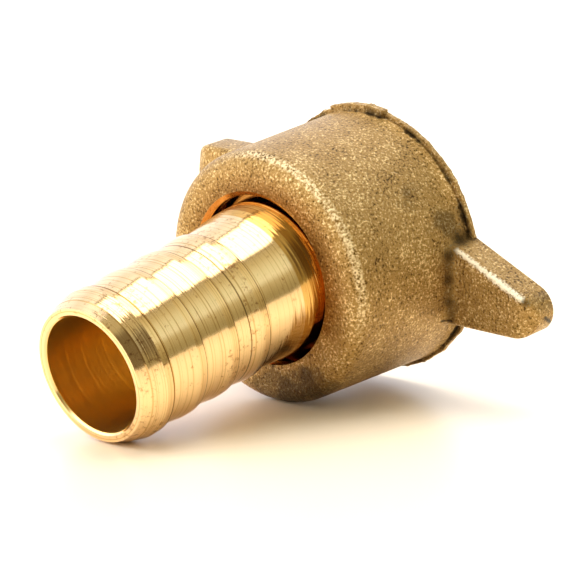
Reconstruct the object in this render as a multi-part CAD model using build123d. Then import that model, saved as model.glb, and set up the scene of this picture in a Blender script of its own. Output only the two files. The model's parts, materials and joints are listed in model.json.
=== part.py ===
from build123d import *
import os
from math import acos, asin, atan2, cos, degrees, hypot, radians, sin

# Swivel hose tail with a forged wing nut. A turned, barbed brass tail carries a flange at its inner end.
# The nut turns freely round the tail, and its end wall pulls the flange and a rubber washer onto a
# threaded pipe end. The fitting lies as it comes to rest: on its first barb and on the nut's front rim.
#
# Millimetres. +Z is up, +X runs along the floor from the barbed end to the nut, and the nut's axis lies
# in the XZ plane. The origin is the middle of the underside of the box round the whole fitting.
#
# Each piece is drawn on its own axis, which is local Z: the tail from its barbed end, and the nut and
# the washer from the nut's front face. Local X points down once the piece is laid in place.

# ---- the barbed tail ----
BORE_DIAMETER = 16.8
END_DIAMETER = 19.2
NOSE_DIAMETER = 20.6
NOSE_LENGTH = 1.6
CREST_DIAMETER = 21.8
VALLEY_DIAMETER = 20.5
BARB_COUNT = 4
BARB_PITCH = 6.25
FIRST_CREST = 5.0
LAND_LENGTH = 1.3
DROP_LENGTH = 0.45
RUN_OUT_LENGTH = 4.9
RUN_OUT_DIAMETER = 21.7
HUB_DIAMETER = 22.4
HUB_SWEEP = 4.0
REACH = 33.6
FLANGE_DIAMETER = 29.8
FLANGE_THICKNESS = 3.0
FLANGE_CHAMFER = 0.4
BORE_CHAMFER = 0.3

# ---- the forged nut ----
FRONT_DIAMETER = 37.0
REAR_DIAMETER = 38.3
NUT_LENGTH = 24.2
FRONT_RADIUS = 2.5
HOLE_DIAMETER = 24.8
END_WALL = 2.8
HOLE_LAND = 1.7
THREAD_MAJOR = 33.25
THREAD_MINOR = 30.29
THREAD_CHAMFER = 1.6
RELIEF_CLEARANCE = 0.3

# ---- its two wings ----
WING_TIP_RADIUS = 33.4
WING_END_RADIUS = 3.5
WING_ROOT_HEIGHT = 13.0
WING_DEPTH = 5.0
WING_TIP_DEPTH = 3.2
WING_EDGE_RADIUS = 0.8
WING_ROOT_BLEND = 1.6
WING_TURN = 14.8
WING_OFFSET = 1.0

# ---- the trimmed forging flash round the nut's rear rim ----
FLASH_THICKNESS = 0.7
FLASH_HEIGHT = 0.5
LIP_HEIGHT = 1.0
LIP_THICKNESS = 1.2
LIP_SPAN = 29.5
LIP_TURN = 164.5

# ---- the sealing washer ----
WASHER_DIAMETER = 32.6
WASHER_HOLE = 18.4
WASHER_THICKNESS = 3.0

# ---- how the loose pieces lie ----
DROOP = 6.2
LEAN = 0.7
PLAY = 0.1

# ---- worked out from the sizes above ----
SWING = degrees(acos(cos(radians(DROOP)) * cos(radians(LEAN))))
FLANGE_RISE = FLANGE_DIAMETER / 2 * sin(radians(SWING))
FLANGE_START = REACH + (END_WALL + PLAY + FLANGE_RISE) / cos(radians(SWING))
TAIL_LENGTH = FLANGE_START + FLANGE_THICKNESS
WASHER_START = (TAIL_LENGTH - REACH) * cos(radians(SWING)) + FLANGE_RISE + PLAY
THREAD_START = WASHER_START + WASHER_THICKNESS
RELIEF_RADIUS = THREAD_MAJOR / 2 + RELIEF_CLEARANCE


def resting_tilt():
    """The angle of the nut's axis to the floor, with the first barb and the front rim both touching."""
    droop = radians(DROOP)
    crest_back = REACH - (FIRST_CREST - LAND_LENGTH)
    barb_along = -crest_back * cos(droop) + CREST_DIAMETER / 2 * sin(droop)
    barb_down = -crest_back * sin(droop) - CREST_DIAMETER / 2 * cos(droop)
    rim_along = FRONT_RADIUS - barb_along
    rim_down = FRONT_RADIUS - FRONT_DIAMETER / 2 - barb_down
    gap = hypot(rim_along, rim_down)
    return degrees(asin(FRONT_RADIUS / gap) - atan2(rim_down, rim_along))


def turned(outline):
    """A body turned from a closed outline of radius against station, about local Z."""
    return revolve(make_face((Plane.XZ * outline).edges()), axis=Axis.Z)


def barb_outline():
    """The barbs' outside as (radius, station): a nose, then a ramp, a short land and a sharp drop each."""
    crest = CREST_DIAMETER / 2
    valley = VALLEY_DIAMETER / 2
    points = [(END_DIAMETER / 2, 0), (NOSE_DIAMETER / 2, NOSE_LENGTH)]
    for barb in range(BARB_COUNT):
        edge = FIRST_CREST + barb * BARB_PITCH
        points += [(crest, edge - LAND_LENGTH), (crest, edge), (valley, edge + DROP_LENGTH)]
    return points


def make_tail():
    """The turned tail: bore, barbs, the hub that passes through the nut's hole, and the flange."""
    bore = BORE_DIAMETER / 2
    hub = HUB_DIAMETER / 2
    flange = FLANGE_DIAMETER / 2
    barbs = barb_outline()
    valley_radius, valley_end = barbs[-1]
    run_out = (RUN_OUT_DIAMETER / 2, valley_end + RUN_OUT_LENGTH)
    hub_start = (hub, run_out[1] + HUB_SWEEP)
    ramp = (run_out[0] - valley_radius, RUN_OUT_LENGTH)
    outline = Polyline((bore, TAIL_LENGTH), (bore, BORE_CHAMFER), (bore + BORE_CHAMFER, 0), *barbs, run_out)
    outline += TangentArc(run_out, hub_start, tangent=ramp)
    outline += Polyline(
        hub_start, (hub, FLANGE_START), (flange - FLANGE_CHAMFER, FLANGE_START),
        (flange, FLANGE_START + FLANGE_CHAMFER), (flange, TAIL_LENGTH), (bore, TAIL_LENGTH))
    return turned(outline)


def nut_shell():
    """The nut's outside as a solid: a rounded front rim and sides that widen towards the open end."""
    front = FRONT_DIAMETER / 2
    rear = REAR_DIAMETER / 2
    rim_start = (front - FRONT_RADIUS, 0)
    rim_middle = (front - FRONT_RADIUS * (1 - sin(radians(45))), FRONT_RADIUS * (1 - cos(radians(45))))
    rim_end = (front, FRONT_RADIUS)
    outline = Line((0, 0), rim_start)
    outline += ThreePointArc(rim_start, rim_middle, rim_end)
    outline += Polyline(rim_end, (rear, NUT_LENGTH), (0, NUT_LENGTH), (0, 0))
    return turned(outline)


def nut_inside():
    """All that is cut out of the nut: hole, seat for the flange, washer room and thread bore."""
    hole = HOLE_DIAMETER / 2
    thread = THREAD_MINOR / 2
    seat_edge = hole + END_WALL - HOLE_LAND
    mouth = thread + THREAD_CHAMFER
    outline = Polyline(
        (0, 0), (hole, 0), (hole, HOLE_LAND), (seat_edge, END_WALL), (RELIEF_RADIUS, END_WALL),
        (RELIEF_RADIUS, THREAD_START), (thread, THREAD_START), (thread, NUT_LENGTH - THREAD_CHAMFER),
        (mouth, NUT_LENGTH), (0, NUT_LENGTH), (0, 0))
    return turned(outline)


def make_wing():
    """One wing, pointing along local +Y: its face outline crossed with its outline seen from the side."""
    root = RELIEF_RADIUS
    front = NUT_LENGTH - WING_DEPTH
    tip_front = NUT_LENGTH - WING_TIP_DEPTH
    nose_start = WING_TIP_RADIUS - WING_END_RADIUS
    end_round = Pos(0, nose_start) * Circle(WING_END_RADIUS)
    root_line = Line((-WING_ROOT_HEIGHT / 2, root), (WING_ROOT_HEIGHT / 2, root))
    face = make_hull(end_round.edges() + root_line.edges())
    side = Line((root, front), (nose_start, front))
    side += TangentArc((nose_start, front), (WING_TIP_RADIUS, tip_front), tangent=(1, 0))
    side += Polyline(
        (WING_TIP_RADIUS, tip_front), (WING_TIP_RADIUS, NUT_LENGTH), (root, NUT_LENGTH), (root, front))
    plate = Pos(0, 0, front) * extrude(face, WING_DEPTH)
    blank = extrude(make_face((Plane.YZ * side).edges()), WING_ROOT_HEIGHT, both=True)
    wing = plate & blank

    def sharp(edge):
        middle = edge.center()
        across = edge.geom_type == GeomType.LINE and abs(edge.tangent_at(0.5).X) > 0.9
        return middle.Y > root + 0.1 and middle.Z < NUT_LENGTH - 0.1 and not across

    return Pos(-WING_OFFSET, 0, 0) * fillet(wing.edges().filter_by(sharp), WING_EDGE_RADIUS)


def flash_band(height, thickness):
    """A closed outline of flash at the rear rim, standing proud of the nut's side."""
    radius = REAR_DIAMETER / 2
    start = NUT_LENGTH - thickness
    return Polyline(
        (radius - 1, start), (radius + height, start), (radius + height, NUT_LENGTH),
        (radius - 1, NUT_LENGTH), close=True)


def make_flash():
    """The trimmed flash: a thin band round the rear rim, with a higher lip where it was cut least."""
    lip_face = make_face((Plane.XZ * flash_band(LIP_HEIGHT, LIP_THICKNESS)).edges())
    lip = Rot(0, 0, LIP_TURN - LIP_SPAN / 2) * revolve(lip_face, axis=Axis.Z, revolution_arc=LIP_SPAN)
    return turned(flash_band(FLASH_HEIGHT, FLASH_THICKNESS)) + lip


def make_nut():
    """The forged nut: shell, blended wings and flash in one, with the inside cut out."""
    shell = nut_shell()
    wing = make_wing()
    other_wing = mirror(wing, about=Plane.XZ)
    body = shell + wing + other_wing
    body = fillet(new_edges(shell, wing, other_wing, combined=body), WING_ROOT_BLEND)
    body += make_flash()
    return body - nut_inside()


def make_washer():
    """The flat rubber washer behind the flange."""
    outer = WASHER_DIAMETER / 2
    inner = WASHER_HOLE / 2
    return turned(Polyline(
        (inner, WASHER_START), (outer, WASHER_START), (outer, THREAD_START), (inner, THREAD_START), close=True))


def underside(pieces):
    """The middle of the underside of the box round all pieces."""
    boxes = [piece.bounding_box() for piece in pieces]
    low = [min(tuple(box.min)[axis] for box in boxes) for axis in range(3)]
    high = [max(tuple(box.max)[axis] for box in boxes) for axis in range(3)]
    return (low[0] + high[0]) / 2, (low[1] + high[1]) / 2, low[2]


def main():
    tilt = resting_tilt()
    nut_place = Rot(0, 90 - tilt, 0) * Rot(0, 0, WING_TURN)
    tail_place = Rot(0, 0, LEAN) * Rot(0, 90 - tilt - DROOP, 0) * Pos(0, 0, -REACH)
    pieces = {
        "hose_tail": tail_place * make_tail(),
        "wing_nut": nut_place * make_nut(),
        "sealing_washer": nut_place * make_washer(),
    }
    x, y, z = underside(pieces.values())
    os.makedirs("parts", exist_ok=True)
    for name, piece in pieces.items():
        export_step(Pos(-x, -y, -z) * piece, f"parts/{name}.step")
    print(f"nut face centre {-x:.4f} {-y:.4f} {-z:.4f}, tilt {tilt:.4f}, tail length {TAIL_LENGTH:.4f}")
    print(f"washer starts at {WASHER_START:.4f}, thread at {THREAD_START:.4f}, swing {SWING:.4f}")


main()
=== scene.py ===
import json
import math

import bmesh
import bpy
from bpy.props import FloatProperty, FloatVectorProperty, PointerProperty, StringProperty
from mathutils import Matrix, Vector, noise


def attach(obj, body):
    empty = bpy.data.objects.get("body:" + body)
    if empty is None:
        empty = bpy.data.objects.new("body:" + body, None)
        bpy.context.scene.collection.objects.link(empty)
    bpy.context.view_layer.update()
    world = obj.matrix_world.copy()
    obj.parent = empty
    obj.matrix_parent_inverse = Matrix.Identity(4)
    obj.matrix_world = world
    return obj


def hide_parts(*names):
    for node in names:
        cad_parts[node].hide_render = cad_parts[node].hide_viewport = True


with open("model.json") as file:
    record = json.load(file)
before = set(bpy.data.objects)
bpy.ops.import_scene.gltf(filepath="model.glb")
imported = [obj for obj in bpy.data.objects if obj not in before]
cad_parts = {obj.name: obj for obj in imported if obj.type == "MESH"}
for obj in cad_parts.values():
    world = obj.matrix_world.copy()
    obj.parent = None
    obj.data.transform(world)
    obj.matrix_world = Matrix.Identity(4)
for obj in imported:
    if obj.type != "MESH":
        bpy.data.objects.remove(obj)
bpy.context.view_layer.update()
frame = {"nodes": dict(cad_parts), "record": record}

bl_info = {
    "name": "Swivel Wing Nut Hose Tail",
    "version": (1, 0, 0),
    "blender": (4, 5, 0),
    "location": "3D View > Sidebar > Hose Tail",
    "description": "Dresses a turned brass hose tail and its forged wing nut",
    "category": "Object",
}

MM = 0.001
TAIL, NUT, WASHER = "hose_tail", "wing_nut", "sealing_washer"
NUT_BODY = "nut"

# ---- where the pieces are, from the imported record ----
RECORD = frame["record"]
MOUNTS = {mount["name"]: mount for mount in RECORD["mounts"]}
SPIN = RECORD["behaviour"]["joints"][0]
NUT_FACE = Vector(SPIN["pos_m"])
NUT_AXIS = Vector(SPIN["axis"]).normalized()
TAIL_AXIS = -Vector(MOUNTS["waterway"]["axis"]).normalized()
TAIL_BORE_LENGTH = MOUNTS["waterway"]["dims"]["length_mm"] * MM
BORE_CHAMFER = 0.3
BARB_END = Vector(MOUNTS["waterway"]["pos_m"]) - TAIL_AXIS * (TAIL_BORE_LENGTH / 2 + BORE_CHAMFER * MM)

# Sizes below are in millimetres and angles in degrees. The nut's own frame has Z along its axis from the
# front face and Y along a wing.

# ---- the forging, as in the part's source ----
WING_TURN = 14.8
FRONT_DIAMETER, REAR_DIAMETER, NUT_LENGTH, FRONT_RADIUS = 37.0, 38.3, 24.2, 2.5
FLASH_HEIGHT, FLASH_THICKNESS = 0.5, 0.7
LIP_HEIGHT, LIP_THICKNESS, LIP_SPAN, LIP_TURN = 1.0, 1.2, 29.5, 164.5

# ---- what was cut after forging: faces inside these radii, and those that touch the flat rear end ----
BORE_REACH, HOLE_REACH, TOUCH = 17.2, 15.0, 0.02
SHARP_ANGLE = 28
WELD = 1e-3

# ---- the pipe thread: 11 turns an inch ----
THREAD_MAJOR, THREAD_MINOR, THREAD_PITCH = 33.25, 30.29, 2.309
THREAD_START = 12.22
GROOVE_HALF_WIDTH, GROOVE_HALF_FLAT = 0.96, 0.19
CUTTER_DEPTH, CUTTER_LIFT = 0.5, 0.03
CUTTER_RUN_IN, CUTTER_RUN_OUT = 1.0, 1.3
STEPS_PER_TURN = 72

# ---- the deburring of the front hole, deeper on one side: what its cutter grows by at each height ----
DEBURR_WAY, DEBURR_RADIUS, DEBURR_OFFSET = (-0.309, 0.536, 0.786), 12.7, 0.36
DEBURR_SECTION = ((0.0, -1.0), (0.0, 0.25), (-1.2, 0.6))
DEBURR_STEPS = 120

# ---- the torn flash: waves round the rim are (count, weight, start) ----
FLASH_STEPS = 720
TEAR_WAVES = ((9, 1.0, (0, 0, 0)), (31, 0.6, (0, 0, 0)), (77, 0.4, (0, 0, 0)))
FOLD_WAVES = ((5, 1.0, (7, 3, 1)), (23, 0.7, (0, 0, 0)))
TORN_HEIGHT, TORN_RANGE, TORN_LEAST = 0.62, 0.22, -0.3
LIP_COVER, LIP_RISE = 0.6, 0.8
BAND_COVER = 0.08
SKIRT_LEAST, SKIRT_RANGE, SKIRT_POWER = 0.35, 0.8, 1.5
SKIRT_SINK, SKIRT_EDGE, SKIRT_PROUD = 0.06, 0.1, 0.05
FOOT_PROUD, FOOT_STEP = 0.07, 0.03
SHOULDER_SHARE, SHOULDER_STEP, SHOULDER_WAVE = 0.9, 0.02, 0.1
CREST_STEP = 0.3
REAR_SHARE, REAR_WAVE, REAR_STEP = 0.93, 0.05, 0.03
ROOT_SINK, ROOT_STEP = 0.5, 0.02
# How much oxide and painted shade each point of the section holds: a share of the fold's darkness, and the
# least.
FOLD_DARKNESS, FOLD_DARKENING = 0.5, 1.2
OXIDE_AND_SHADE_SHARES = ((0.6, 0.0), (0.8, 0.0), (0.7, 0.3), (0.3, 0.0), (0.0, 0.0), (0.0, 0.1), (0.0, 0.2))

# ---- the forging's skin ----
CLOUD_SHARE = 0.22
DENT_LEVEL, SKIN_FROM, SKIN_TO, PEAK_LEVEL = 0.36, 0.46, 0.54, 0.62
# Darker patches: a place in the nut's frame and a reach. The three on the lower front face are painted shade,
# where the face mirrors the shadowed floor; the others darken the upper body towards a wing.
DARK_PATCHES = (
    ((-9.92, -16.05, 19.59), 3.4),
    ((-14.05, -12.69, 15.33), 2.4),
    ((1.51, -18.87, 20.63), 2.6),
    ((15.6, -3.77, 0.03), 5.5),
    ((13.68, -9.46, 0.0), 5.0),
    ((10.98, -12.58, 0.04), 4.0),
)
DARK_PATCH_RAG, DARK_PATCH_EDGE, DARK_PATCH_STRENGTH = 12.0, 2.2, 0.55
# Painted lines on one wing and its root, a highlight along its upper edge and shade in its creases and
# notches: from and to in the nut's frame, half width, colour and strength.
PAINTED_EDGE_HIGHLIGHT, DEEP_PAINTED_SHADE, ROOT_SHADE, SOFT_PAINTED_SHADE = "#FFF6DC", "#1C1206", "#241806", "#2A1A08"
PAINTED_LINES = (
    ((-6.72, -19.05, 19.38), (-5.37, -25.03, 19.37), 0.3, PAINTED_EDGE_HIGHLIGHT, 0.95),
    ((-5.37, -25.03, 19.37), (-4.02, -30.9, 19.47), 0.4, PAINTED_EDGE_HIGHLIGHT, 1.0),
    ((-10.6, -16.54, 23.5), (-7.99, -17.95, 23.63), 0.9, DEEP_PAINTED_SHADE, 0.9),
    ((-7.99, -17.95, 23.63), (-7.4, -17.86, 21.21), 0.9, ROOT_SHADE, 0.75),
    ((-7.4, -17.86, 21.21), (-5.86, -18.34, 18.54), 0.7, ROOT_SHADE, 0.65),
    ((-5.86, -18.34, 18.54), (-2.41, -18.96, 18.31), 0.6, SOFT_PAINTED_SHADE, 0.6),
    ((-2.41, -18.96, 18.31), (1.05, -19.3, 18.64), 0.6, SOFT_PAINTED_SHADE, 0.55),
    ((1.05, -19.3, 18.64), (3.78, -19.67, 19.07), 0.5, SOFT_PAINTED_SHADE, 0.5),
    ((4.42, -18.6, 18.53), (4.08, -19.7, 19.16), 0.2, DEEP_PAINTED_SHADE, 0.95),
    ((-3.73, -32.17, 19.57), (-3.67, -31.57, 19.63), 0.4, SOFT_PAINTED_SHADE, 0.7),
    ((-1.23, -33.39, 22.32), (-0.07, -33.27, 23.83), 0.2, DEEP_PAINTED_SHADE, 0.9),
)
# A mark's raggedness, and where it fades in and is full, in half widths.
MARK_RAG, MARK_FADE, MARK_FULL = 5, 0.5, 2.2
# The front rim carries a painted highlight on its upper side: between these stations and on this side.
RIM_HIGHLIGHT_STARTS, RIM_HIGHLIGHT_ENDS = (0.5, 1.0), (2.2, 1.5)
RIM_HIGHLIGHT_WAY, RIM_HIGHLIGHT_SIDE = (-0.10, -0.70, 0.70), (0.3, 0.8)
RIM_HIGHLIGHT_SPECKLE, RIM_HIGHLIGHT_STRENGTH = (0.44, 0.58), 0.9

# ---- the turned tail, in millimetres from its barbed end ----
CRESTS = (5.0, 11.25, 17.5, 23.75)
# At each crest, painted shade: a faint band on the land before it, and a darker one over its edge and drop.
LAND_START, LAND_END, LAND_SHADE = -1.3, -0.26, "#F4CE94"
DROP_START, DROP_END, DROP_SHADE = -0.25, 0.4, "#96692F"
# Other rings of their own colour: a deep tool line, and painted shade on the hub that deepens into the hole.
RINGS = (
    (20.05, 20.2, "#7A5528"),
    (30.6, 32.2, "#DCAC60"),
    (32.25, 35.29, "#B27C36"),
    (35.3, 42.0, "#8A5A24"),
)
# How far the run-out's surface leans along the axis, because the tool left it slightly hollow.
RUN_OUT_LEAN = ((0.0, 0.0), (29.0, 0.0), (30.5, 0.1), (32.5, 0.22), (35.3, 0.34), (35.8, 0.0))
SPECK_SIZE, SPECK_CLOUD, SPECK_CLOUD_SHARE = 0.8, 6, 0.35
SPECK_RANGE, SPECK_STRENGTH = (0.76, 0.86), 0.7
LINE_RANGE, LINE_STRENGTH = (-0.06, -0.18), 0.65

# ---- the washer's bloom: where the noise begins to lighten the rubber, and where it is full ----
BLOOM_FROM, BLOOM_FULL = 0.35, 0.7

# ---- the studio: radiance by height above the floor, behind the object and in the dim room before it ----
SWEEP = (
    (0, (1.4, 1.4, 1.5)),
    (25, (1.4, 1.4, 1.55)),
    (33, (1.3, 1.3, 1.5)),
    (40, (1.12, 1.14, 1.25)),
    (48, (1.2, 1.2, 1.3)),
    (58, (1.4, 1.4, 1.55)),
)
ROOM = (
    (0, (0.45, 0.41, 0.28)),
    (3, (0.36, 0.33, 0.19)),
    (10, (0.4, 0.36, 0.2)),
    (22, (0.6, 0.56, 0.36)),
    (29, (0.95, 1.0, 0.86)),
    (38, (0.88, 0.94, 0.76)),
    (46, (0.8, 0.8, 0.6)),
    (53, (0.66, 0.62, 0.4)),
    (60, (0.55, 0.5, 0.32)),
)
ROOM_AZIMUTH, ROOM_INNER, ROOM_OUTER = -95, 80, 105
# Cards and soft boxes: azimuth, elevation, full and outer radius, and radiance.
STUDIO_PATCHES = (
    (-118, 22, 24, 40, (0.2, 0.16, 0.09)),
    (150, 28, 26, 42, (2.6, 2.5, 2.4)),
    (10, 80, 26, 27.5, (0.24, 0.2, 0.11)),
    (10, 80, 21.5, 25, (3.2, 3.1, 2.9)),
)
ZENITH = 90
WHITE = (1, 1, 1, 1)
FRAME_WIDTH, CLIP_START = 36.0, 10.0


def linear(hex_colour):
    """An sRGB hex colour as the linear RGBA that Blender's sockets take."""
    channels = [int(hex_colour.lstrip("#")[place:place + 2], 16) / 255 for place in (0, 2, 4)]
    return tuple(c / 12.92 if c <= 0.04045 else ((c + 0.055) / 1.055) ** 2.4 for c in channels) + (1.0,)


def nut_frame():
    """The nut's own frame, as a matrix to the part's frame."""
    down = Vector((NUT_AXIS.z, 0, -NUT_AXIS.x))
    side = NUT_AXIS.cross(down)
    turn = math.radians(WING_TURN)
    x = down * math.cos(turn) + side * math.sin(turn)
    y = side * math.cos(turn) - down * math.sin(turn)
    return Matrix.Translation(NUT_FACE) @ Matrix((x, y, NUT_AXIS)).transposed().to_4x4()


def add(tree, kind, inputs=None, **settings):
    """Adds a shader node, applies its settings, and links or sets its inputs."""
    made = tree.nodes.new("ShaderNode" + kind)
    for name, value in settings.items():
        setattr(made, name, value)
    for name, value in (inputs or {}).items():
        if isinstance(value, bpy.types.NodeSocket):
            tree.links.new(value, made.inputs[name])
        else:
            made.inputs[name].default_value = value
    return made


def fill_ramp(ramp, stops, length=1):
    """Sets a colour ramp's stops, each a place along a length and a linear colour."""
    elements = ramp.color_ramp.elements
    while len(elements) > 1:
        elements.remove(elements[-1])
    for number, (place, colour) in enumerate(stops):
        element = elements[0] if number == 0 else elements.new(place / length)
        element.position = place / length
        element.color = colour


def new_material(name):
    """An empty node material and its tree."""
    material = bpy.data.materials.new(name)
    material.use_nodes = True
    material.node_tree.nodes.clear()
    return material, material.node_tree


def close_surface(tree, shader):
    """Makes a shader the material's surface."""
    add(tree, "OutputMaterial", {"Surface": shader})


def axis_coordinates(tree, start, axis):
    """The place along an axis and the distance from it, in millimetres, and the unit vector out from it."""
    place = add(tree, "TexCoord").outputs["Object"]
    offset = add(tree, "VectorMath", {0: place, 1: start}, operation="SUBTRACT").outputs[0]
    along = add(tree, "VectorMath", {0: offset, 1: axis}, operation="DOT_PRODUCT").outputs["Value"]
    station = add(tree, "Math", {0: along, 1: 1 / MM}, operation="MULTIPLY").outputs[0]
    on_axis = add(tree, "VectorMath", {0: axis, "Scale": along}, operation="SCALE").outputs[0]
    outward = add(tree, "VectorMath", {0: offset, 1: on_axis}, operation="SUBTRACT").outputs[0]
    reach = add(tree, "VectorMath", {0: outward}, operation="LENGTH").outputs["Value"]
    radius = add(tree, "Math", {0: reach, 1: 1 / MM}, operation="MULTIPLY").outputs[0]
    return station, radius, add(tree, "VectorMath", {0: outward}, operation="NORMALIZE").outputs[0]


def tilted_normal(tree, direction, slope):
    """The surface normal leaned along a direction by a slope."""
    normal = add(tree, "NewGeometry").outputs["Normal"]
    lean = add(tree, "VectorMath", {0: direction, "Scale": slope}, operation="SCALE").outputs[0]
    total = add(tree, "VectorMath", {0: normal, 1: lean}, operation="ADD").outputs[0]
    return add(tree, "VectorMath", {0: total}, operation="NORMALIZE").outputs[0]


def centred_lines(tree, place, pitch, detail):
    """Random lines across a place in millimetres, as a height from about -0.5 to 0.5."""
    lines = add(tree, "TexNoise", {"W": place, "Scale": 1 / pitch, "Detail": detail, "Roughness": 0.65},
                noise_dimensions="1D")
    return add(tree, "Math", {0: lines.outputs["Fac"], 1: 0.5}, operation="SUBTRACT").outputs[0]


def hollowed(tree, slope, station, lean):
    """A slope made less by a lean, which is a list of places along the axis and slopes."""
    length = lean[-1][0]
    share = add(tree, "Math", {0: station, 1: length}, operation="DIVIDE").outputs[0]
    hollow = add(tree, "ValToRGB", {"Fac": share})
    fill_ramp(hollow, [(place, (amount, amount, amount, 1)) for place, amount in lean], length)
    return add(tree, "Math", {0: slope, 1: hollow.outputs["Color"]}, operation="SUBTRACT").outputs[0]


def ringed(tree, station, base, rings):
    """A base colour with rings of their own colour along the axis, each (from, to, hex colour)."""
    length = rings[-1][1]
    share = add(tree, "Math", {0: station, 1: length}, operation="DIVIDE").outputs[0]
    ramp = add(tree, "ValToRGB", {"Fac": share})
    ramp.color_ramp.interpolation = "CONSTANT"
    stops = [(0.0, base)]
    for first, last, shade in rings:
        stops += [(first, linear(shade)), (last, base)]
    fill_ramp(ramp, stops[:-1], length)
    return ramp.outputs["Color"]


def tarnish_specks(tree):
    """A mask of small specks that gather in clouds."""
    place = add(tree, "TexCoord").outputs["Object"]
    specks = add(tree, "TexNoise", {"Vector": place, "Scale": 1 / (SPECK_SIZE * MM), "Detail": 4.0,
                                    "Roughness": 0.75})
    cloud = add(tree, "TexNoise", {"Vector": place, "Scale": 1 / (SPECK_CLOUD * MM), "Detail": 2.0})
    worst = add(tree, "Math", {0: cloud.outputs["Fac"], 1: SPECK_CLOUD_SHARE, 2: specks.outputs["Fac"]},
                operation="MULTIPLY_ADD").outputs[0]
    return add(tree, "MapRange", {"Value": worst, "From Min": SPECK_RANGE[0], "From Max": SPECK_RANGE[1],
                                  "To Max": SPECK_STRENGTH}).outputs[0]


def turned_brass(name, sizes, start, axis, rings=(), lean=()):
    """Free-cutting brass cut on a lathe: bright, with fine tool lines round the axis that each lean the
    reflection a little, the deepest of them drawn darker, and faint brown specks of tarnish."""
    material, tree = new_material(name)
    station, radius, outward = axis_coordinates(tree, start, axis)
    path = add(tree, "Math", {0: station, 1: radius}, operation="ADD").outputs[0]
    fine = centred_lines(tree, path, sizes.fine_line_pitch, 2.0)
    broad = centred_lines(tree, path, sizes.broad_line_pitch, 1.0)
    slope = add(tree, "Math", {0: fine, 1: sizes.line_slope}, operation="MULTIPLY").outputs[0]
    slope = add(tree, "Math", {0: broad, 1: sizes.broad_slope, 2: slope}, operation="MULTIPLY_ADD").outputs[0]
    if lean:
        slope = hollowed(tree, slope, station, lean)
    cross = add(tree, "VectorMath", {0: outward, 1: axis}, operation="ADD").outputs[0]
    normal = tilted_normal(tree, cross, slope)
    # The deepest tool lines are drawn darker.
    deepest_lines = add(tree, "MapRange", {"Value": fine, "From Min": LINE_RANGE[0], "From Max": LINE_RANGE[1],
                                   "To Max": LINE_STRENGTH}).outputs[0]
    colour = linear(sizes.bright)
    if rings:
        colour = ringed(tree, station, colour, rings)
    lined = add(tree, "Mix", {"Factor": deepest_lines, "A": colour, "B": linear(sizes.line)},
                data_type="RGBA").outputs["Result"]
    skin = add(tree, "Mix", {"Factor": tarnish_specks(tree), "A": lined, "B": linear(sizes.tarnish)},
               data_type="RGBA").outputs["Result"]
    outside = add(tree, "BsdfPrincipled", {"Base Color": skin, "Metallic": 1.0, "Roughness": sizes.roughness,
                                           "Normal": normal})
    bore = add(tree, "BsdfPrincipled", {"Base Color": linear(sizes.bore), "Metallic": 1.0,
                                        "Roughness": sizes.bore_roughness, "Normal": normal})
    inside = add(tree, "Math", {0: radius, 1: sizes.bore_radius}, operation="LESS_THAN").outputs[0]
    both = add(tree, "MixShader", {0: inside, 1: outside.outputs[0], 2: bore.outputs[0]})
    close_surface(tree, both.outputs[0])
    return material


def with_dark_patch(tree, colour, place, rag, spot, reach, shade):
    """A colour with a ragged dark patch round a spot; on the nut's lower front face these are painted shade.
    """
    gap = add(tree, "VectorMath", {0: place, 1: spot}, operation="DISTANCE").outputs["Value"]
    ragged = add(tree, "Math", {0: rag, 1: -DARK_PATCH_RAG * MM, 2: gap}, operation="MULTIPLY_ADD").outputs[0]
    edge = (reach - DARK_PATCH_RAG / 2) * MM
    mask = add(tree, "MapRange", {"Value": ragged, "From Min": edge, "From Max": edge - DARK_PATCH_EDGE * MM,
                                  "To Max": DARK_PATCH_STRENGTH}, interpolation_type="SMOOTHSTEP")
    return add(tree, "Mix", {"Factor": mask.outputs[0], "A": colour, "B": linear(shade)},
               data_type="RGBA").outputs["Result"]


def with_painted_line(tree, colour, place, rag, first, last, half_width, shade, strength):
    """A colour with a ragged line drawn on it between two places: painted shade in a crease, or a painted
    highlight along an edge.
    """
    line = last - first
    offset = add(tree, "VectorMath", {0: place, 1: first}, operation="SUBTRACT").outputs[0]
    along = add(tree, "VectorMath", {0: offset, 1: line / line.length_squared},
                operation="DOT_PRODUCT").outputs["Value"]
    held = add(tree, "Clamp", {"Value": along}).outputs[0]
    nearest = add(tree, "VectorMath", {0: line, "Scale": held}, operation="SCALE").outputs[0]
    gap = add(tree, "VectorMath", {0: offset, 1: nearest}, operation="DISTANCE").outputs["Value"]
    width = half_width * MM
    ragged = add(tree, "Math", {0: rag, 1: -MARK_RAG * width, 2: gap}, operation="MULTIPLY_ADD").outputs[0]
    mask = add(tree, "MapRange", {"Value": ragged, "From Min": -MARK_FADE * width,
                                  "From Max": -MARK_FULL * width, "To Max": strength},
               interpolation_type="SMOOTHSTEP")
    return add(tree, "Mix", {"Factor": mask.outputs[0], "A": colour, "B": linear(shade)},
               data_type="RGBA").outputs["Result"]


def rim_highlight_mask(tree, station, outward, grain):
    """A speckled mask of painted highlight on the upper side of the nut's front rim."""
    side = add(tree, "VectorMath", {0: outward, 1: RIM_HIGHLIGHT_WAY}, operation="DOT_PRODUCT").outputs["Value"]
    rim_highlight = RIM_HIGHLIGHT_STRENGTH
    for value, (low, high), curve in ((station, RIM_HIGHLIGHT_STARTS, "SMOOTHSTEP"), (station, RIM_HIGHLIGHT_ENDS, "SMOOTHSTEP"),
                                      (side, RIM_HIGHLIGHT_SIDE, "SMOOTHSTEP"), (grain, RIM_HIGHLIGHT_SPECKLE, "LINEAR")):
        share = add(tree, "MapRange", {"Value": value, "From Min": low, "From Max": high},
                    interpolation_type=curve).outputs[0]
        rim_highlight = add(tree, "Math", {0: share, 1: rim_highlight}, operation="MULTIPLY").outputs[0]
    return rim_highlight


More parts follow.
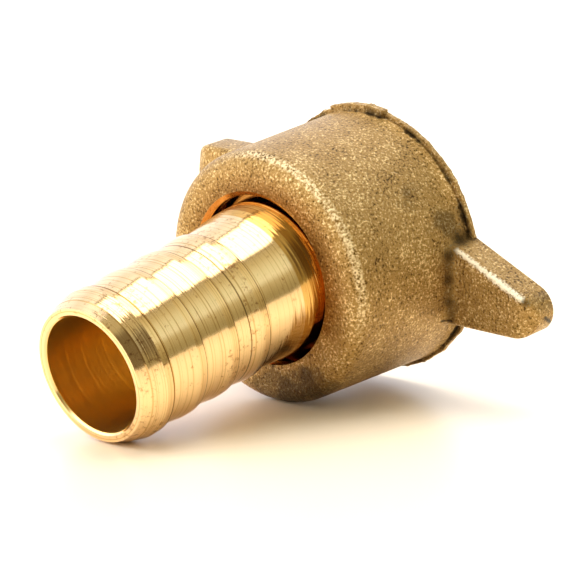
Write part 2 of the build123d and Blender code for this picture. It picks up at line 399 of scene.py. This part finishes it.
def forged_brass(sizes):
    """Hot-forged brass, shot-blasted: a matte, granular skin of small dents, dark oxide left in the deeper
    ones, sparks of bare metal on the peaks, darker patches, painted shade on the lower front face and in a
    wing's creases, and painted highlights on the upper side of the front rim and along a wing's edge. The
    dents are drawn coarser than the real ones, so that they can be made out."""
    material, tree = new_material("forged_shot_blasted_brass")
    place = add(tree, "TexCoord").outputs["Object"]
    station, _, outward = axis_coordinates(tree, NUT_FACE, NUT_AXIS)
    grain = add(tree, "TexNoise", {"Vector": place, "Scale": 1 / (sizes.grain * MM), "Detail": 3.0,
                                   "Roughness": 0.7}).outputs["Fac"]
    cloud = add(tree, "TexNoise", {"Vector": place, "Scale": 1 / (sizes.cloud * MM), "Detail": 4.0,
                                   "Roughness": 0.6}).outputs["Fac"]
    mixed = add(tree, "Mix", {"Factor": CLOUD_SHARE, "A": grain, "B": cloud}, data_type="FLOAT")
    ramp = add(tree, "ValToRGB", {"Fac": mixed.outputs["Result"]})
    fill_ramp(ramp, ((DENT_LEVEL, linear(sizes.dent)), (SKIN_FROM, linear(sizes.skin)),
                     (SKIN_TO, linear(sizes.skin)), (PEAK_LEVEL, linear(sizes.peak))))
    # Oxide and painted shade in the fold under the flash, which only the flash mesh carries.
    oxide_and_shade = add(tree, "Attribute", attribute_name="oxide_and_shade").outputs["Fac"]
    colour = add(tree, "Mix", {"Factor": oxide_and_shade, "A": ramp.outputs["Color"], "B": linear(sizes.oxide_and_shade)},
                 data_type="RGBA").outputs["Result"]
    home = nut_frame()
    # Darker patches; those on the lower front face are painted shade from the shadowed floor that it mirrors.
    for spot, reach in DARK_PATCHES:
        colour = with_dark_patch(tree, colour, place, cloud, home @ (Vector(spot) * MM), reach, sizes.oxide_and_shade)
    # Painted lines: a highlight along a wing's upper edge, and shade in its creases and at its root.
    for first, last, half_width, shade, strength in PAINTED_LINES:
        first, last = home @ (Vector(first) * MM), home @ (Vector(last) * MM)
        colour = with_painted_line(tree, colour, place, grain, first, last, half_width, shade, strength)
    # A painted highlight on the upper side of the front rim.
    rim_highlight = rim_highlight_mask(tree, station, outward, grain)
    colour = add(tree, "Mix", {"Factor": rim_highlight, "A": colour, "B": linear(sizes.rim_highlight_colour)},
                 data_type="RGBA").outputs["Result"]
    bump = add(tree, "Bump", {"Height": grain, "Strength": 1.0, "Distance": sizes.grain_depth * MM})
    shader = add(tree, "BsdfPrincipled", {"Base Color": colour, "Metallic": 1.0, "Roughness": sizes.roughness,
                                          "Normal": bump.outputs[0]})
    close_surface(tree, shader.outputs[0])
    return material


def washer_rubber(sizes):
    """Nitrile rubber, moulded: near-black and matte, with a faint bloom."""
    material, tree = new_material("moulded_nitrile_rubber")
    place = add(tree, "TexCoord").outputs["Object"]
    bloom = add(tree, "TexNoise", {"Vector": place, "Scale": 1 / (sizes.bloom_size * MM), "Detail": 4.0})
    ramp = add(tree, "ValToRGB", {"Fac": bloom.outputs["Fac"]})
    fill_ramp(ramp, ((BLOOM_FROM, linear(sizes.black)), (BLOOM_FULL, linear(sizes.bloom))))
    shader = add(tree, "BsdfPrincipled", {"Base Color": ramp.outputs["Color"], "Roughness": sizes.roughness})
    close_surface(tree, shader.outputs[0])
    return material


def paper_sweep(sizes):
    """Coated studio paper: plain and pale, with a slight sheen that mirrors the object softly."""
    material, tree = new_material("paper_sweep")
    paper = add(tree, "BsdfPrincipled", {"Base Color": linear(sizes.floor_white),
                                         "Roughness": sizes.floor_roughness})
    close_surface(tree, paper.outputs[0])
    return material


class StageSettings(bpy.types.PropertyGroup):
    """The floor, the studio round it and the camera."""
    floor_half: FloatProperty(name="Floor half width", description="Half the side of the floor",
                              default=4.0, unit="LENGTH")
    floor_white: StringProperty(name="Floor colour", description="Colour of the paper sweep",
                                default="#F8EBD6")
    floor_roughness: FloatProperty(name="Floor roughness", description="Roughness of the paper", default=0.3)
    paper_fill: FloatProperty(name="Paper fill", description="Extra light that keeps the paper white",
                              default=1.4)
    focal_length: FloatProperty(name="Focal length", description="Lens of the camera in millimetres",
                                default=162.5)
    camera_place: FloatVectorProperty(name="Camera place", description="Where the camera stands",
                                      default=(-0.25151, -0.25201, 0.08554), subtype="TRANSLATION")
    camera_forward: FloatVectorProperty(name="Camera direction", description="The way the camera looks",
                                        default=(0.706575, 0.682331, -0.187553), subtype="DIRECTION")


class TurnedSettings(bpy.types.PropertyGroup):
    """The finish of the turned tail."""
    bright: StringProperty(name="Bright brass", description="Colour of the cut metal", default="#F7D5A0")
    line: StringProperty(name="Tool line", description="Colour in the deeper tool lines", default="#C79A52")
    tarnish: StringProperty(name="Tarnish", description="Colour of the specks", default="#A9743C")
    roughness: FloatProperty(name="Roughness", description="Roughness of the cut metal", default=0.13)
    fine_line_pitch: FloatProperty(name="Fine line pitch", description="Spacing of the tool lines, mm",
                                   default=0.35)
    broad_line_pitch: FloatProperty(name="Broad line pitch", description="Spacing of the waves, mm",
                                    default=1.6)
    line_slope: FloatProperty(name="Line slope", description="How far a tool line leans the surface",
                              default=0.22)
    broad_slope: FloatProperty(name="Wave slope", description="How far a wave leans the surface",
                               default=0.08)
    bore: StringProperty(name="Bore", description="Colour of the drawn bore", default="#FFD67A")
    bore_radius: FloatProperty(name="Bore radius", description="The bore's finish ends at this radius, mm",
                               default=8.46)
    bore_roughness: FloatProperty(name="Bore roughness", description="Roughness of the bore", default=0.27)


class ForgedSettings(bpy.types.PropertyGroup):
    """The finish of the forged nut."""
    skin: StringProperty(name="Skin", description="Colour of the blasted skin", default="#B08D54")
    dent: StringProperty(name="Dents", description="Colour in the dents", default="#40290E")
    peak: StringProperty(name="Peaks", description="Colour of the rubbed peaks", default="#FADFA6")
    # The colour of the painted highlight on the front rim.
    rim_highlight_colour: StringProperty(name="Rubbed rim", description="Colour of the rubbed rim", default="#FBE8BC")
    # Also the colour of the darker patches and of the painted shade in the flash's fold.
    oxide_and_shade: StringProperty(name="Oxide", description="Colour of the oxide in the folds", default="#2E2110")
    grain: FloatProperty(name="Grain", description="Size of a blasting dent, mm", default=0.36)
    grain_depth: FloatProperty(name="Grain depth", description="Depth of a dent, mm", default=0.3)
    cloud: FloatProperty(name="Clouds", description="Size of the darker patches, mm", default=5.0)
    roughness: FloatProperty(name="Roughness", description="Roughness of the skin", default=0.4)


class WasherSettings(bpy.types.PropertyGroup):
    """The finish of the washer."""
    black: StringProperty(name="Rubber", description="Colour of the rubber", default="#161514")
    bloom: StringProperty(name="Bloom", description="Colour of the rubber's bloom", default="#2B2927")
    bloom_size: FloatProperty(name="Bloom size", description="Size of a patch of bloom, mm", default=2.5)
    roughness: FloatProperty(name="Roughness", description="Roughness of the rubber", default=0.7)


def mesh_object(context, name, mesh):
    """A new object of a mesh, linked to the scene."""
    made = bpy.data.objects.new(name, mesh)
    context.collection.objects.link(made)
    return made


def cut(context, shape, tool):
    """Takes a closed tool out of a closed shape, and removes the tool."""
    modifier = shape.modifiers.new("cut", "BOOLEAN")
    modifier.operation = "DIFFERENCE"
    modifier.solver = "EXACT"
    modifier.object = tool
    context.view_layer.update()
    mesh = bpy.data.meshes.new_from_object(shape.evaluated_get(context.evaluated_depsgraph_get()))
    shape.modifiers.clear()
    shape.data = mesh
    bpy.data.objects.remove(tool)


def sweep(rows, closed_rows=False):
    """A closed skin over rows of points: each row is a closed ring of the same number of points."""
    shape = bmesh.new()
    rings = [[shape.verts.new(point) for point in row] for row in rows]
    following_rings = rings[1:] + rings[:1] if closed_rows else rings[1:]
    for ring, following in zip(rings, following_rings):
        for spot in range(len(ring)):
            after = (spot + 1) % len(ring)
            shape.faces.new((ring[spot], ring[after], following[after], following[spot]))
    if not closed_rows:
        shape.faces.new(rings[0])
        shape.faces.new(list(reversed(rings[-1])))
    bmesh.ops.recalc_face_normals(shape, faces=shape.faces)
    mesh = bpy.data.meshes.new("sweep")
    shape.to_mesh(mesh)
    shape.free()
    return mesh


def polar(radius, angle, height):
    """A point round the nut's axis, in its own frame, from sizes in millimetres."""
    return Vector((radius * math.cos(angle), radius * math.sin(angle), height)) * MM


def side_radius(height):
    """The radius of the nut's tapered side at a height from its front face."""
    front, rear = FRONT_DIAMETER / 2, REAR_DIAMETER / 2
    return front + (rear - front) * (height - FRONT_RADIUS) / (NUT_LENGTH - FRONT_RADIUS)


def thread_tool():
    """The groove of the pipe thread, as a closed ridge that winds through the nut's open end."""
    crest, root = THREAD_MINOR / 2, THREAD_MAJOR / 2
    back, flank = crest - CUTTER_DEPTH, crest - CUTTER_LIFT
    section = ((back, -GROOVE_HALF_WIDTH), (flank, -GROOVE_HALF_WIDTH), (root, -GROOVE_HALF_FLAT),
               (root, GROOVE_HALF_FLAT), (flank, GROOVE_HALF_WIDTH), (back, GROOVE_HALF_WIDTH))
    first, last = THREAD_START - CUTTER_RUN_IN, NUT_LENGTH + CUTTER_RUN_OUT
    steps = int(STEPS_PER_TURN * (last - first) / THREAD_PITCH)
    rows = []
    for step in range(steps + 1):
        turns = step / STEPS_PER_TURN
        height = first + turns * THREAD_PITCH
        rows.append([polar(radius, turns * 2 * math.pi, height + drop) for radius, drop in section])
    return sweep(rows)


def deburr_tool(home):
    """A shallow round cutter set off to one side of the hole, which leaves a crescent at its edge."""
    away = home.to_3x3().inverted() @ Vector(DEBURR_WAY)
    away.z = 0
    offset = away.normalized() * DEBURR_OFFSET * MM
    angles = [math.radians(360 / DEBURR_STEPS * step) for step in range(DEBURR_STEPS)]
    return sweep([[polar(DEBURR_RADIUS + growth, angle, height) + offset for angle in angles]
                  for growth, height in DEBURR_SECTION])


def waves(spot, layers):
    """Uneven waves round the rim, at a spot on a unit circle."""
    return sum(weight * noise.noise(spot * count + Vector(start)) for count, weight, start in layers)


def lip_share(angle):
    """How far a place round the rim is part of the higher lip, from 0 to 1."""
    turned = abs((math.degrees(angle) - LIP_TURN + 180) % 360 - 180)
    return min(max((LIP_SPAN / 2 + LIP_COVER - turned) / LIP_RISE, 0), 1)


def flash_mesh():
    """The torn forging flash: a ragged fin round the rear rim, over a fold in the skin before it, darkened
    with oxide and with painted shade below the fin.
    """
    rows, darkness = [], []
    for step in range(FLASH_STEPS):
        angle = 2 * math.pi * step / FLASH_STEPS
        spot = Vector((math.cos(angle), math.sin(angle), 0))
        torn, fold, lip = waves(spot, TEAR_WAVES), waves(spot, FOLD_WAVES), lip_share(angle)
        height = TORN_HEIGHT + TORN_RANGE * max(torn, TORN_LEAST) + lip * (LIP_HEIGHT - FLASH_HEIGHT)
        start = NUT_LENGTH - FLASH_THICKNESS - BAND_COVER - lip * (LIP_THICKNESS - FLASH_THICKNESS)
        skirt = start - SKIRT_LEAST - SKIRT_RANGE * max(fold, 0) ** SKIRT_POWER
        base, foot = side_radius(skirt), side_radius(start)
        section = (
            (base - SKIRT_SINK, skirt - SKIRT_EDGE),
            (base + SKIRT_PROUD, skirt),
            (foot + FOOT_PROUD, start - FOOT_STEP),
            (foot + height * SHOULDER_SHARE, start + SHOULDER_STEP + SHOULDER_WAVE * torn),
            (foot + height, start + CREST_STEP),
            (foot + height * (REAR_SHARE + REAR_WAVE * fold), NUT_LENGTH - REAR_STEP),
            (foot - ROOT_SINK, NUT_LENGTH - ROOT_STEP),
        )
        rows.append([polar(radius, angle, station) for radius, station in section])
        # Oxide and painted shade, darkest below the fin.
        dark = min(max(FOLD_DARKNESS + FOLD_DARKENING * fold, 0), 1)
        darkness += [share * dark + least for share, least in OXIDE_AND_SHADE_SHARES]
    mesh = sweep(rows, closed_rows=True)
    layer = mesh.attributes.new("oxide_and_shade", "FLOAT", "POINT")
    layer.data.foreach_set("value", darkness)
    return mesh


def cad_copy(context, name, node):
    """A closed mesh object of a CAD node, with its seams joined."""
    shape = bmesh.new()
    shape.from_mesh(frame["nodes"][node].data)
    shape.transform(frame["nodes"][node].matrix_world)
    bmesh.ops.remove_doubles(shape, verts=shape.verts, dist=WELD * MM)
    mesh = bpy.data.meshes.new(name)
    shape.to_mesh(mesh)
    shape.free()
    return mesh_object(context, name, mesh)


def was_machined(spot):
    """Whether a place on the nut, in millimetres in its own frame, was cut after forging."""
    radius = math.hypot(spot.x, spot.y)
    rear_end = spot.z > NUT_LENGTH - TOUCH and radius < REAR_DIAMETER / 2
    hole = spot.z > TOUCH and radius < HOLE_REACH
    bore = spot.z > FRONT_RADIUS and radius < BORE_REACH
    return rear_end or hole or bore


def seat(piece, body, node=None):
    """Attaches a piece to its body, and hides the CAD node that it stands for."""
    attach(piece, body)
    if node:
        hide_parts(node)


def dress(node, material):
    """Gives a CAD node its material."""
    mesh = frame["nodes"][node].data
    mesh.materials.clear()
    mesh.materials.append(material)


def lay_floor(context, sizes):
    """A wide, flat sheet of studio paper under the object."""
    half = sizes.floor_half
    mesh = bpy.data.meshes.new("floor")
    corners = [(-half, -half, 0), (half, -half, 0), (half, half, 0), (-half, half, 0)]
    mesh.from_pydata(corners, [], [(0, 1, 2, 3)])
    mesh.materials.append(paper_sweep(sizes))
    mesh_object(context, "floor", mesh)


def room_and_sweep(tree, way):
    """The radiance of the pale sweep behind the object and of the dim room before it."""
    split = add(tree, "SeparateXYZ", {0: way})
    height = add(tree, "Math", {0: split.outputs["Z"]}, operation="ARCSINE").outputs[0]
    level = add(tree, "Math", {0: height, 1: 2 / math.pi}, operation="MULTIPLY").outputs[0]
    sides = []
    for stops in (SWEEP, ROOM):
        side = add(tree, "ValToRGB", {"Fac": level})
        fill_ramp(side, [(degrees, (*radiance, 1)) for degrees, radiance in stops], ZENITH)
        sides.append(side.outputs[0])
    azimuth = add(tree, "Math", {0: split.outputs["Y"], 1: split.outputs["X"]},
                  operation="ARCTAN2").outputs[0]
    turned = add(tree, "Math", {0: azimuth, 1: math.radians(ROOM_AZIMUTH)}, operation="SUBTRACT").outputs[0]
    facing = add(tree, "Math", {0: turned}, operation="COSINE").outputs[0]
    in_room = add(tree, "MapRange", {"Value": facing, "From Min": math.cos(math.radians(ROOM_OUTER)),
                                     "From Max": math.cos(math.radians(ROOM_INNER))},
                  interpolation_type="SMOOTHSTEP").outputs[0]
    return add(tree, "Mix", {"Factor": in_room, "A": sides[0], "B": sides[1]},
               data_type="RGBA").outputs["Result"]


def with_patch(tree, lit, way, azimuth, elevation, inner, outer, radiance):
    """A world's radiance with a soft-edged round card or soft box on it."""
    turn, rise = math.radians(azimuth), math.radians(elevation)
    centre = Vector((math.cos(turn) * math.cos(rise), math.sin(turn) * math.cos(rise), math.sin(rise)))
    toward = add(tree, "VectorMath", {0: way, 1: centre}, operation="DOT_PRODUCT").outputs["Value"]
    patch = add(tree, "MapRange", {"Value": toward, "From Min": math.cos(math.radians(outer)),
                                   "From Max": math.cos(math.radians(inner))},
                interpolation_type="SMOOTHSTEP").outputs[0]
    return add(tree, "Mix", {"Factor": patch, "A": lit, "B": (*radiance, 1)},
               data_type="RGBA").outputs["Result"]


def light_studio(context, sizes):
    """The world. The camera sees it as plain white. Metal and glass mirror the sweep, the room and its soft
    boxes, and matte surfaces get a little more light, so that the paper stays white."""
    world = bpy.data.worlds.new("studio")
    world.use_nodes = True
    context.scene.world = world
    tree = world.node_tree
    tree.nodes.clear()
    way = add(tree, "TexCoord").outputs["Generated"]
    lit = room_and_sweep(tree, way)
    for patch in STUDIO_PATCHES:
        lit = with_patch(tree, lit, way, *patch)
    path = add(tree, "LightPath")
    seen = add(tree, "Math", {0: path.outputs["Is Glossy Ray"], 1: path.outputs["Is Transmission Ray"]},
               operation="MAXIMUM").outputs[0]
    seen = add(tree, "Math", {0: seen, 1: path.outputs["Is Camera Ray"]}, operation="MAXIMUM").outputs[0]
    strength = add(tree, "Mix", {"Factor": seen, "A": sizes.paper_fill, "B": 1.0},
                   data_type="FLOAT").outputs["Result"]
    colour = add(tree, "Mix", {"Factor": path.outputs["Is Camera Ray"], "A": lit, "B": WHITE},
                 data_type="RGBA").outputs["Result"]
    shine = add(tree, "Background", {"Color": colour, "Strength": strength})
    add(tree, "OutputWorld", {"Surface": shine.outputs[0]})


def set_camera(context, sizes):
    """The camera, with a long lens."""
    camera = bpy.data.objects.new("camera", bpy.data.cameras.new("camera"))
    camera.data.lens = sizes.focal_length
    camera.data.sensor_width = FRAME_WIDTH
    camera.data.clip_start = CLIP_START * MM
    camera.rotation_euler = Vector(sizes.camera_forward).to_track_quat("-Z", "Y").to_euler()
    camera.location = sizes.camera_place
    context.collection.objects.link(camera)
    context.scene.camera = camera


class HOSETAIL_OT_stage(bpy.types.Operator):
    """Lay the floor, light the studio and set the camera"""
    bl_idname = "hosetail.stage"
    bl_label = "Stage"

    def execute(self, context):
        sizes = context.scene.hosetail_stage
        lay_floor(context, sizes)
        light_studio(context, sizes)
        set_camera(context, sizes)
        context.scene.view_settings.view_transform = "Standard"
        return {"FINISHED"}


class HOSETAIL_OT_tail(bpy.types.Operator):
    """Finish the turned tail"""
    bl_idname = "hosetail.tail"
    bl_label = "Turned tail"

    def execute(self, context):
        rings = list(RINGS)
        # Painted shade at each barb: on the land before the crest, and over its edge and drop.
        for crest in CRESTS:
            rings.append((crest + LAND_START, crest + LAND_END, LAND_SHADE))
            rings.append((crest + DROP_START, crest + DROP_END, DROP_SHADE))
        sizes = context.scene.hosetail_turned
        dress(TAIL, turned_brass("turned_free_cutting_brass", sizes, BARB_END, TAIL_AXIS, sorted(rings),
                                 RUN_OUT_LEAN))
        return {"FINISHED"}


class HOSETAIL_OT_nut(bpy.types.Operator):
    """Cut the nut's thread, add its torn flash and finish both"""
    bl_idname = "hosetail.nut"
    bl_label = "Forged nut"

    def execute(self, context):
        home = nut_frame()
        skin = forged_brass(context.scene.hosetail_forged)
        cut_metal = turned_brass("machined_forging_brass", context.scene.hosetail_turned, NUT_FACE, NUT_AXIS)
        nut = cad_copy(context, "forged_nut_with_thread", NUT)
        nut.data.materials.clear()
        for tool in (thread_tool(), deburr_tool(home)):
            cutter = mesh_object(context, "cutter", tool)
            cutter.matrix_world = home
            cut(context, nut, cutter)
        mesh = nut.data
        mesh.materials.clear()
        mesh.materials.append(skin)
        mesh.materials.append(cut_metal)
        back = home.inverted()
        for face in mesh.polygons:
            face.material_index = int(was_machined(back @ face.center / MM))
            face.use_smooth = True
        mesh.set_sharp_from_angle(angle=math.radians(SHARP_ANGLE))
        seat(nut, NUT_BODY, NUT)
        flash = mesh_object(context, "torn_flash", flash_mesh())
        flash.matrix_world = home
        flash.data.materials.append(skin)
        seat(flash, NUT_BODY)
        return {"FINISHED"}


class HOSETAIL_OT_washer(bpy.types.Operator):
    """Finish the rubber washer"""
    bl_idname = "hosetail.washer"
    bl_label = "Sealing washer"

    def execute(self, context):
        dress(WASHER, washer_rubber(context.scene.hosetail_washer))
        return {"FINISHED"}


OPERATORS = (HOSETAIL_OT_stage, HOSETAIL_OT_tail, HOSETAIL_OT_nut, HOSETAIL_OT_washer)
SETTINGS = {
    "hosetail_stage": StageSettings,
    "hosetail_turned": TurnedSettings,
    "hosetail_forged": ForgedSettings,
    "hosetail_washer": WasherSettings,
}


class HOSETAIL_PT_panel(bpy.types.Panel):
    """Lists the pieces of the hose tail"""
    bl_idname = "HOSETAIL_PT_panel"
    bl_label = "Hose Tail"
    bl_space_type = "VIEW_3D"
    bl_region_type = "UI"
    bl_category = "Hose Tail"

    def draw(self, context):
        for operator in OPERATORS:
            self.layout.operator(operator.bl_idname)


def register():
    """Registers the settings, the operators and the panel."""
    for kind in (*SETTINGS.values(), *OPERATORS, HOSETAIL_PT_panel):
        bpy.utils.register_class(kind)
    for name, kind in SETTINGS.items():
        setattr(bpy.types.Scene, name, PointerProperty(type=kind))


def unregister():
    """Takes away what register added."""
    for name in SETTINGS:
        delattr(bpy.types.Scene, name)
    for kind in (HOSETAIL_PT_panel, *reversed(OPERATORS), *SETTINGS.values()):
        bpy.utils.unregister_class(kind)


def main():
    """Builds the scene."""
    register()
    bpy.ops.hosetail.stage()
    bpy.ops.hosetail.tail()
    bpy.ops.hosetail.nut()
    bpy.ops.hosetail.washer()


if __name__ == "__main__":
    main()
